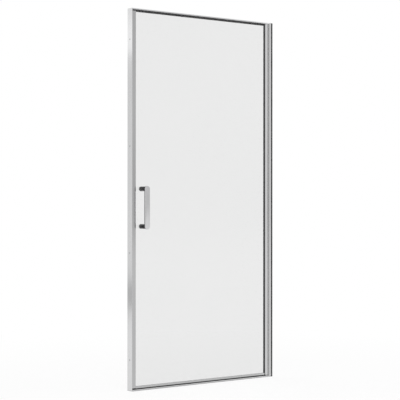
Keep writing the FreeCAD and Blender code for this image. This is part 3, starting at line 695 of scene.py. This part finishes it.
def roundedPlate(builder, place, width, height, thickness, corner):
    # A plate in local X and Y, thickness along local Z, with round corners and soft rims.
    edge, edgeSteps = handle["edge"], handle["edgeSteps"]
    quarters = []
    for turn, (signX, signY) in enumerate(((1, 1), (-1, 1), (-1, -1), (1, -1))):
        centre = (signX * (width / 2 - corner), signY * (height / 2 - corner))
        quarters.append((centre, 90.0 * turn))
    turns = [math.radians(90) * step / edgeSteps for step in range(edgeSteps + 1)]
    rims = [(edge * (1 - math.sin(t)), edge * (1 - math.cos(t))) for t in turns]
    rims += [(edge * (1 - math.cos(t)), thickness - edge * (1 - math.sin(t))) for t in turns]
    layers = []
    for shrink, level in rims:
        radius = max(corner - shrink, handle["leastCorner"])
        layer = []
        for centre, start in quarters:
            for x, y in arcPoints(centre, radius, start, start + 90, handle["endSteps"]):
                layer.append(builder.verts.new(place @ Vector((x, y, level))))
        layers.append(layer)
    joinLayers(builder, layers)


builder = bmesh.new()
barPlace = alongY(handleX, barLow.y, (barLow.z + barHigh.z) / 2)
barWidth = barHigh.x - barLow.x
roundedPlate(builder, barPlace, barWidth, barHigh.z - barLow.z, barHigh.y - barLow.y, barWidth / 2)
newPiece("handle_bar_rounded", builder, handleChrome, "door_leaf", "handle_chrome", "handle_bar")

posts = {
    "radius": 11.5 * mm,
    "edge": 0.5 * mm,
    "edgeSteps": 4,
    "groove": 0.35 * mm,
    "grooveFromGlass": 3.0 * mm,
    "bore": 3.05 * mm,
    "boreDepth": 18.4 * mm,
    "sides": 64,
}
postLow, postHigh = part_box("handle_posts")
postHeights = (postLow.z + posts["radius"], postHigh.z - posts["radius"])


def postProfile(length):
    # From the middle of the bar's side, round to the bore that the handle's screw goes into.
    radius, edge, steps = posts["radius"], posts["edge"], posts["edgeSteps"]
    groove, grooveAt = posts["groove"], length - posts["grooveFromGlass"]
    bore, floor = posts["bore"], length - posts["boreDepth"]
    profile = [(0.0, 0.0)]
    profile += arcPoints((radius - edge, edge), edge, -90, 0, steps)
    profile += [(radius, grooveAt - groove), (radius - groove, grooveAt)]
    profile += [(radius, grooveAt + groove)]
    profile += arcPoints((radius - edge, length - edge), edge, 0, 90, steps)
    return profile + [(bore, length), (bore, floor), (0.0, floor)]


builder = bmesh.new()
profile = postProfile(postHigh.y - barHigh.y)
for height in postHeights:
    turnProfile(builder, profile, alongY(handleX, barHigh.y, height), posts["sides"])
newPiece("handle_posts_turned", builder, postPlastic, "door_leaf", "dark_post", "handle_posts")

coverCaps = {
    "wall": 0.7 * mm,
    "edge": 0.9 * mm,
    "dome": 0.2 * mm,
    "sides": 64,
}
# Both kinds of cap have this soft crown, with a point part way in that lies a little lower.
crown = {
    "edgeDegrees": 80,
    "edgeSteps": 6,
    "midRadius": 0.45,
    "midDrop": 0.2,
}


def capProfile(radius, depth, shape):
    # A hollow cap that is open towards the piece it sits on.
    wall, edge, dome = shape["wall"], shape["edge"], shape["dome"]
    inner, ceiling = radius - wall, depth - wall - dome
    rim = (radius - edge, depth - dome - edge)
    profile = [(inner, 0.0), (radius, 0.0)]
    profile += arcPoints(rim, edge, 0, crown["edgeDegrees"], crown["edgeSteps"])
    profile += [(radius * crown["midRadius"], depth - dome * crown["midDrop"]), (0.0, depth)]
    return profile + [(0.0, ceiling), (inner, ceiling), (inner, 0.0)]


coverLow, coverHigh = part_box("handle_cover_caps")
builder = bmesh.new()
profile = capProfile(posts["radius"], coverHigh.y - coverLow.y, coverCaps)
for height in postHeights:
    turnProfile(builder, profile, alongY(handleX, coverLow.y, height), coverCaps["sides"])
newPiece("handle_cover_caps_turned", builder, capChrome,
         "door_leaf", "cap_chrome", "handle_cover_caps")

washers = {
    "bore": 3.1 * mm,
    "edge": 0.2 * mm,
    "edgeSteps": 3,
    "sides": 48,
}


def washerProfile(outer, thickness):
    # It ends where it starts, so that it turns into a closed ring.
    bore, edge, steps = washers["bore"], washers["edge"], washers["edgeSteps"]
    profile = arcPoints((outer - edge, edge), edge, -90, 0, steps)
    profile += arcPoints((outer - edge, thickness - edge), edge, 0, 90, steps)
    return profile + [(bore, thickness), (bore, 0.0), profile[0]]


for nodeName in ("handle_outer_washers", "handle_inner_washers"):
    low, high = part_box(nodeName)
    builder = bmesh.new()
    profile = washerProfile((high.x - low.x) / 2, high.y - low.y)
    for height in postHeights:
        turnProfile(builder, profile, alongY(handleX, low.y, height), washers["sides"])
    newPiece(nodeName + "_soft", builder, clearWasher, "door_leaf", "clear_washer", nodeName)
print("handle built")

# Round caps over the screws that lock the jambs.
jambCaps = {
    "radius": 5.4 * mm,
    "wall": 0.7 * mm,
    "edge": 0.8 * mm,
    "dome": 0.2 * mm,
    "inset": 210.0 * mm,
    "count": 4,
    "sides": 40,
}
capLow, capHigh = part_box("jamb_screw_caps")
capColumns = (capLow.x + jambCaps["radius"], capHigh.x - jambCaps["radius"])
lowest = jambCaps["inset"]
highest = capLow.z + capHigh.z - jambCaps["inset"]
builder = bmesh.new()
profile = capProfile(jambCaps["radius"], capHigh.y - capLow.y, jambCaps)
for column in capColumns:
    for step in range(jambCaps["count"]):
        height = lowest + (highest - lowest) * step / (jambCaps["count"] - 1)
        turnProfile(builder, profile, alongY(column, capLow.y, height), jambCaps["sides"])
newPiece("jamb_screw_caps_turned", builder, capChrome, "frame", "cap_chrome", "jamb_screw_caps")
print("screw caps built")

# The two magnet strips meet face to face, each with bevels and a shallow groove down its face.
magnets = {
    "corner": 0.45 * mm,
    "grooveWidth": 1.6 * mm,
    "grooveDepth": 0.25 * mm,
    "grooveFloor": 0.6,
}


def magnetOutline(low, high, faceY, backY):
    corner = magnets["corner"]
    middle = (low.x + high.x) / 2
    half = magnets["grooveWidth"] / 2
    halfFloor = half * magnets["grooveFloor"]
    inward = 1 if backY > faceY else -1
    bevelY = faceY + inward * corner
    floorY = faceY + inward * magnets["grooveDepth"]
    return [
        (low.x, backY),
        (low.x, bevelY),
        (low.x + corner, faceY),
        (middle - half, faceY),
        (middle - halfFloor, floorY),
        (middle + halfFloor, floorY),
        (middle + half, faceY),
        (high.x - corner, faceY),
        (high.x, bevelY),
        (high.x, backY),
    ]


for nodeName, body in (("strike_magnet_strip", "frame"), ("leaf_magnet_strip", "door_leaf")):
    low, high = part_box(nodeName)
    # The jamb's strip faces out of the shower, and the leaf's strip faces into it.
    faceY, backY = (low.y, high.y) if body == "frame" else (high.y, low.y)
    builder = bmesh.new()
    extrudeOutline(builder, magnetOutline(low, high, faceY, backY), low.z, high.z)
    newPiece(nodeName + "_grooved", builder, magnetPlastic, body, "magnet_strip", nodeName)
print("magnet strips built")

# Soft lips where the dark carrier meets the glass, one on each face.
wedge = {
    "reach": 2.6 * mm,
    "tall": 0.9 * mm,
    "tip": 0.15 * mm,
    "middle": 0.55,
    "middleTall": 0.62,
    "endGap": 0.2 * mm,
}
glassLow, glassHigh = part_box("glass_pane")
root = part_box("glazing_carrier")[0].x
tip = root - wedge["reach"]
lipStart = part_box("bottom_rail_gasket")[1].z + wedge["endGap"]
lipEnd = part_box("top_edge_seal")[0].z - wedge["endGap"]
builder = bmesh.new()
for faceY, outward in ((glassLow.y, -1), (glassHigh.y, 1)):
    outline = [
        (root, faceY),
        (root, faceY + outward * wedge["tall"]),
        (root - wedge["reach"] * wedge["middle"],
         faceY + outward * wedge["tall"] * wedge["middleTall"]),
        (tip, faceY + outward * wedge["tip"]),
        (tip, faceY),
    ]
    extrudeOutline(builder, outline, lipStart, lipEnd)
newPiece("carrier_wedge_lips", builder, sealRubber, "door_leaf", "black_rubber")

# A thin lip on the pivot jamb's front closes the wedge beside the round stile, 0.4 mm clear of it.
jambLip = {
    "left": 419.6 * mm,
    "right": 424.4 * mm,
    "front": -18.2 * mm,
    "seatCentre": (412.0 * mm, -8.5 * mm),
    "seatRadius": 11.9 * mm,
    "seatStart": -8,
    "seatSteps": 10,
    "corner": 0.2 * mm,
    "cornerSlope": 0.3,
    "low": 7.6 * mm,
    "high": 1842.8 * mm,
}


def jambLipOutline():
    left, right, front = jambLip["left"], jambLip["right"], jambLip["front"]
    centre, radius, corner = jambLip["seatCentre"], jambLip["seatRadius"], jambLip["corner"]
    lean = math.degrees(math.acos((left - centre[0]) / radius))
    seat = arcPoints(centre, radius, jambLip["seatStart"], -lean, jambLip["seatSteps"])
    cornerPoints = [(left, front + corner), (left + corner * jambLip["cornerSlope"], front)]
    return [(right, seat[0][1])] + seat + cornerPoints + [(right, front)]


builder = bmesh.new()
extrudeOutline(builder, jambLipOutline(), jambLip["low"], jambLip["high"])
newPiece("pivot_jamb_front_lip", builder, uprightAluminium, "frame", "polished_aluminium")
print("lips built")

# Screws with a cross recess: countersunk ones down into the header, and flat heads up under
# the threshold.
screws = {
    "shank": 1.46 * mm,
    "tipWidth": 0.6,
    "tipHeight": 0.3,
    "thread": 0.2 * mm,
    "pitch": 1.1 * mm,
    "headRadius": 2.9 * mm,
    "headHeight": 1.6 * mm,
    "headEdge": 0.3 * mm,
    "recessSpan": 3.0 * mm,
    "recessWidth": 0.75 * mm,
    "recessDepth": 0.9 * mm,
    "recessTaper": 0.7,
    "sides": 48,
}


def screwProfile(length, countersunk):
    # From the tip up to the rim of the head.
    shank, pitch = screws["shank"], screws["pitch"]
    root = shank - screws["thread"]
    head, edge = screws["headRadius"], screws["headEdge"]
    headBase = length - screws["headHeight"]
    profile = [(0.0, 0.0), (shank * screws["tipWidth"], screws["tipHeight"] * pitch)]
    height = pitch
    while height < headBase - pitch:
        profile += [(root, height), (shank, height + pitch / 2)]
        height += pitch
    profile += [(root, headBase)]
    if countersunk:
        return profile + [(head, length)]
    return profile + [(head, headBase), (head, length - edge), (head - edge, length)]


def crossHead(builder, place, rim, length):
    # The flat of the head with a cross sunk into it, drawn as twelve corners.
    half = screws["recessWidth"] / 2
    arm = screws["recessSpan"] / 2
    taper = screws["recessTaper"]
    sides = screws["sides"]
    corners = []
    for quarter in range(4):
        turn = Matrix.Rotation(math.radians(90 * quarter), 2)
        for point in ((arm, -half), (arm, half), (half, half)):
            corners.append(turn @ Vector(point))
    ring = circleRing(builder, place, rim, length, sides)
    depth = length - screws["recessDepth"]
    top = [builder.verts.new(place @ Vector((c.x, c.y, length))) for c in corners]
    floor = [builder.verts.new(place @ Vector((c.x * taper, c.y * taper, depth))) for c in corners]
    count = len(corners)
    for corner in range(count):
        after = (corner + 1) % count
        builder.faces.new([top[corner], top[after], floor[after], floor[corner]])
    builder.faces.new(floor)
    # Each point of the rim joins the corner of the cross that lies most in its direction.
    owners = []
    for side in range(sides):
        angle = 2 * math.pi * side / sides
        direction = Vector((math.cos(angle), math.sin(angle)))
        owners.append(max(range(count), key=lambda c: corners[c].normalized().dot(direction)))
    for side in range(sides):
        after = (side + 1) % sides
        first, second = owners[side], owners[after]
        if first == second:
            builder.faces.new([ring[side], ring[after], top[first]])
            continue
        chain = [second]
        while chain[-1] != first:
            chain.append((chain[-1] - 1) % count)
        builder.faces.new([ring[side], ring[after]] + [top[c] for c in chain])


def addScrew(builder, place, length, countersunk):
    profile = screwProfile(length, countersunk)
    turnProfile(builder, profile, place, screws["sides"])
    crossHead(builder, place, profile[-1][0], length)


# Middles of the screw ports in the jambs, in millimetres.
portPlaces = ((-444.4, 9.7), (-430.0, 9.7), (435.6, -12.365), (435.6, 14.4))
for nodeName, inHeader in (("header_screws", True), ("threshold_screws", False)):
    low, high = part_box(nodeName)
    builder = bmesh.new()
    for x, y in portPlaces:
        if inHeader:
            place = Matrix.Translation((x * mm, y * mm, low.z))
        else:
            place = Matrix.Translation((x * mm, y * mm, high.z))
            place = place @ Matrix.Rotation(math.pi, 4, "X")
        addScrew(builder, place, high.z - low.z, countersunk=inHeader)
    newPiece(nodeName + "_cross", builder, screwSteel, "frame", "screw_steel", nodeName)
print("screws built")

# The studio: white all round, as the photograph has it.
studio = {
    "floorSize": 80.0,
    "fillLevel": 0.62,
    "shadowShare": 0.14,
    "shadowReach": (1.0, 2.6),
    "floorColour": (0.92, 0.92, 0.92),
    "lampAim": (0.0, 0.0, 0.9),
}


def seenDirectly(tree):
    # One where the camera, a reflection or a clear piece looks at the surface.
    path = addNode(tree, "ShaderNodeLightPath")
    seen = joinMath(tree, "ADD", path.outputs["Is Camera Ray"], path.outputs["Is Glossy Ray"])
    seen = joinMath(tree, "ADD", seen, path.outputs["Is Transmission Ray"])
    return joinMath(tree, "MINIMUM", seen, 1.0)


def bareMaterial(name):
    # A material with nothing on its surface yet, and the socket that takes it.
    material = bpy.data.materials.new(name)
    material.use_nodes = True
    tree = material.node_tree
    tree.nodes.remove(tree.nodes["Principled BSDF"])
    return material, tree, tree.nodes["Material Output"].inputs["Surface"]


def buildWorld():
    world = bpy.data.worlds.new("white_studio")
    world.use_nodes = True
    scene.world = world
    tree = world.node_tree
    background = tree.nodes["Background"]
    background.inputs["Color"].default_value = (1.0, 1.0, 1.0, 1.0)
    level = stretchRange(tree, seenDirectly(tree), 0.0, 1.0, studio["fillLevel"], 1.0)
    tree.links.new(level, background.inputs["Strength"])


def buildFloor():
    # It glows white where it is looked at, less a share near the object that takes its shadow.
    material, tree, surface = bareMaterial("white_floor")
    diffuse = addNode(tree, "ShaderNodeBsdfDiffuse", {"Color": studio["floorColour"] + (1.0,)})
    glow = addNode(tree, "ShaderNodeEmission", {"Strength": 1.0})
    place = addNode(tree, "ShaderNodeTexCoord")
    distance = addNode(tree, "ShaderNodeVectorMath", operation="LENGTH")
    tree.links.new(place.outputs["Object"], distance.inputs[0])
    shadow = stretchRange(tree, distance.outputs["Value"], *studio["shadowReach"],
                          studio["shadowShare"], 0.0)
    white = joinMath(tree, "SUBTRACT", 1.0, shadow)
    share = joinMath(tree, "MULTIPLY", seenDirectly(tree), white)
    choice = addNode(tree, "ShaderNodeMixShader")
    tree.links.new(share, choice.inputs[0])
    tree.links.new(diffuse.outputs[0], choice.inputs[1])
    tree.links.new(glow.outputs[0], choice.inputs[2])
    tree.links.new(choice.outputs[0], surface)
    builder = bmesh.new()
    bmesh.ops.create_grid(builder, x_segments=1, y_segments=1, size=studio["floorSize"] / 2)
    floor = placeMesh("floor", finishMesh("floor", builder), material)
    floor.visible_glossy = False  # so that the cards show in the metal right down to the tray


# Cards that only reflections see, as a product studio hangs them round polished metal.
# Reach is to the left and right of its middle, and each level of light stands at a height.
cards = {
    "front_grey_card": {
        "toward": (0.617, -0.787),
        "away": 1.9,
        "reach": (-0.95, 0.375),
        "levels": ((-0.5, 0.76), (0.30, 0.73), (0.50, 0.77), (0.86, 0.58), (1.5, 0.65),
                   (2.5, 0.54)),
    },
    "side_dark_card": {
        "toward": (0.953, -0.305),
        "away": 2.4,
        "reach": (-0.14, 0.50),
        "levels": ((-0.5, 0.06), (2.5, 0.04)),
    },
    "back_soft_card": {
        "toward": (-0.617, 0.787),
        "away": 2.0,
        "reach": (-1.3, 1.3),
        "levels": ((-0.5, 0.92), (0.03, 1.08), (0.20, 1.04), (0.27, 0.75), (0.34, 0.64),
                   (0.42, 0.80), (0.50, 0.96), (1.2, 0.95), (1.79, 0.96), (1.87, 1.34),
                   (2.15, 1.08), (2.5, 1.0)),
    },
}


def levelCurve(tree, card, low, high):
    # The card's light at each share of its height.
    curveNode = addNode(tree, "ShaderNodeFloatCurve")
    curveNode.mapping.use_clip = False
    curve = curveNode.mapping.curves[0]
    levels = [((height - low) / (high - low), level) for height, level in card["levels"]]
    curve.points[0].location = levels[0]
    curve.points[1].location = levels[-1]
    for level in levels[1:-1]:
        curve.points.new(*level)
    curveNode.mapping.update()
    return curveNode


def buildCard(name, card):
    facing = Vector((*card["toward"], 0.0)).normalized()
    side = Vector((-facing.y, facing.x, 0.0))
    left, right = (facing * card["away"] + side * reach for reach in card["reach"])
    low, high = card["levels"][0][0], card["levels"][-1][0]
    builder = bmesh.new()
    points = ((left, low), (right, low), (right, high), (left, high))
    builder.faces.new([builder.verts.new((p.x, p.y, z)) for p, z in points])
    material, tree, surface = bareMaterial(name)
    glow = addNode(tree, "ShaderNodeEmission")
    place = addNode(tree, "ShaderNodeTexCoord")
    apart = addNode(tree, "ShaderNodeSeparateXYZ")
    tree.links.new(place.outputs["Generated"], apart.inputs[0])
    level = levelCurve(tree, card, low, high)
    tree.links.new(apart.outputs["Z"], level.inputs["Value"])
    tree.links.new(level.outputs[0], glow.inputs["Strength"])
    tree.links.new(glow.outputs[0], surface)
    panel = placeMesh(name, finishMesh(name, builder), material)
    panel.visible_camera = False
    panel.visible_diffuse = False
    panel.visible_transmission = False
    panel.visible_shadow = False


lamps = {
    "key_softbox": {"place": (-2.6, -3.4, 3.2), "size": 2.6, "watts": 78.0},
    "fill_softbox": {"place": (3.2, -2.4, 2.4), "size": 2.6, "watts": 30.0},
    "back_softbox": {"place": (0.6, 3.4, 3.0), "size": 2.6, "watts": 45.0},
}


def buildLamp(name, lamp):
    light = bpy.data.lights.new(name, "AREA")
    light.size = lamp["size"]
    light.energy = lamp["watts"]
    lampObject = bpy.data.objects.new(name, light)
    lampObject.location = lamp["place"]
    aim = Vector(studio["lampAim"]) - Vector(lamp["place"])
    lampObject.rotation_euler = aim.to_track_quat("-Z", "Y").to_euler()
    lampObject.visible_glossy = False
    lampObject.visible_transmission = False
    scene.collection.objects.link(lampObject)


buildWorld()
buildFloor()
for cardName, card in cards.items():
    buildCard(cardName, card)
for lampName, lamp in lamps.items():
    buildLamp(lampName, lamp)
print("studio built")
